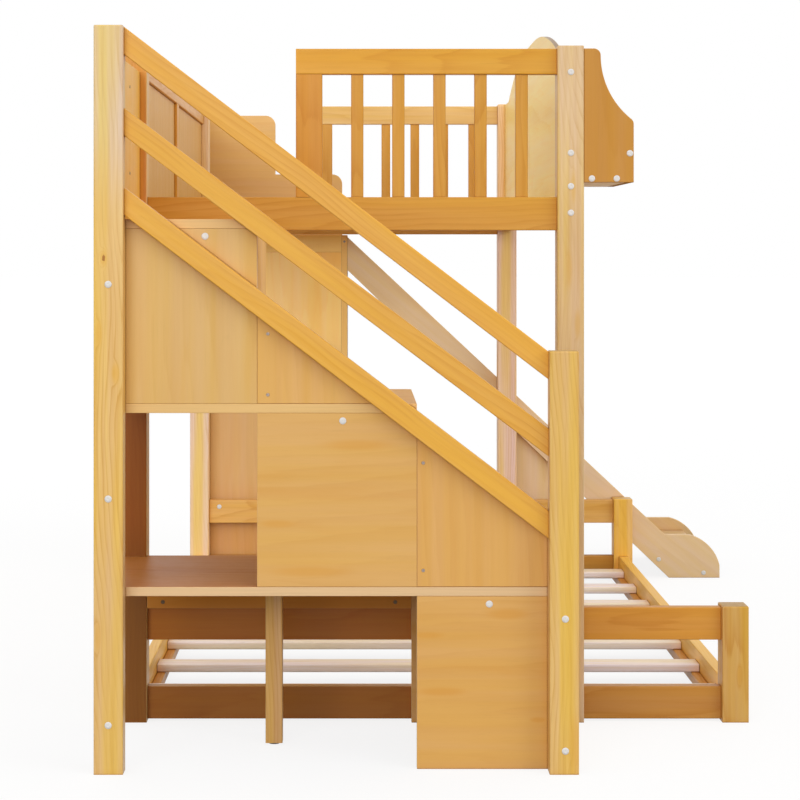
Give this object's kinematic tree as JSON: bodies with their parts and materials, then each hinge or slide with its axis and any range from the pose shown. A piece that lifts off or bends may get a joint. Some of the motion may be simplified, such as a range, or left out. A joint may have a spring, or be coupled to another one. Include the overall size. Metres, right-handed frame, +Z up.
{
  "type": "bunk bed with storage stairs",
  "caption": "Wooden bunk bed with a narrow upper bed over a wider lower bed, storage stairs at one end, and a platform with a slide at the other.",
  "frame": {"origin": "on the floor, below the centre of the whole object's box", "axes": "+X from the wall side to the room side, +Y from the stairs along the bed to the slide platform, +Z up"},
  "size_m": [1.771, 2.918, 1.683],
  "materials": {
    "post_wood": "satin clear-lacquered pine",
    "stair_rail_wood": "satin golden lacquered pine",
    "step_wood": "satin lacquered board with a pale front edge",
    "panel_wood": "satin lacquered board",
    "inner_panel_wood": "satin lacquered board",
    "beam_wood": "satin lacquered pine",
    "slat_wood": "bare planed poplar",
    "guard_wood": "satin lacquered pine",
    "arch_wood": "satin lacquered board",
    "book_shelf_wood": "satin lacquered board",
    "platform_wood": "satin lacquered board",
    "slide_wood": "satin lacquered board",
    "cap_plastic": "matte off-white caps",
    "screw_steel": "dull steel heads",
    "dark_steel": "blackened bolt heads",
    "glide_plastic": "dark plastic glide"
  },
  "bodies": {
    "root": {"apron_bolts": "dark_steel", "back_panels": "inner_panel_wood", "bed_post_far_front": "post_wood", "bed_post_far_wall": "post_wood", "bed_post_near_front": "post_wood", "bed_post_near_wall": "post_wood", "bolt_caps": "cap_plastic", "book_shelf_bottom": "book_shelf_wood", "book_shelf_front": "book_shelf_wood", "book_shelf_sides": "book_shelf_wood", "end_beam_far": "beam_wood", "end_beam_near": "beam_wood", "front_guard_arch": "arch_wood", "guard_rails": "guard_wood", "guard_slats": "guard_wood", "guard_stiles": "guard_wood", "infill_panel_low": "panel_wood", "infill_panel_middle": "panel_wood", "landing_guard": "inner_panel_wood", "leg_glide": "glide_plastic", "low_end_rails_lower": "beam_wood", "low_end_rails_upper": "beam_wood", "low_ledgers": "beam_wood", "low_posts": "post_wood", "low_side_rails": "beam_wood", "low_slats": "slat_wood", "screw_heads": "screw_steel", "shelf_apron": "inner_panel_wood", "shelf_leg": "post_wood", "side_beam_front": "beam_wood", "side_beam_wall": "beam_wood", "side_panel_low": "panel_wood", "side_panel_middle": "panel_wood", "side_panel_top": "panel_wood", "slide_chute": "slide_wood", "slide_side_far": "slide_wood", "slide_side_near": "slide_wood", "slide_supports": "slide_wood", "stair_landing": "step_wood", "stair_post_short": "post_wood", "stair_post_tall": "post_wood", "stair_rail_lower": "stair_rail_wood", "stair_rail_middle": "stair_rail_wood", "stair_rail_upper": "stair_rail_wood", "stair_risers": "inner_panel_wood", "stair_shelf": "step_wood", "stair_tread": "step_wood", "tower_band_near": "platform_wood", "tower_deck": "platform_wood", "tower_guard_far": "platform_wood", "tower_panel_far": "platform_wood", "tower_panel_front": "platform_wood", "tower_panel_near": "platform_wood", "tower_panel_wall": "platform_wood", "upper_ledgers": "beam_wood", "upper_slats": "slat_wood", "wall_guard_divider": "guard_wood", "wall_guard_panels": "guard_wood", "wall_guard_rail": "guard_wood"}
  },
  "joints": []
}
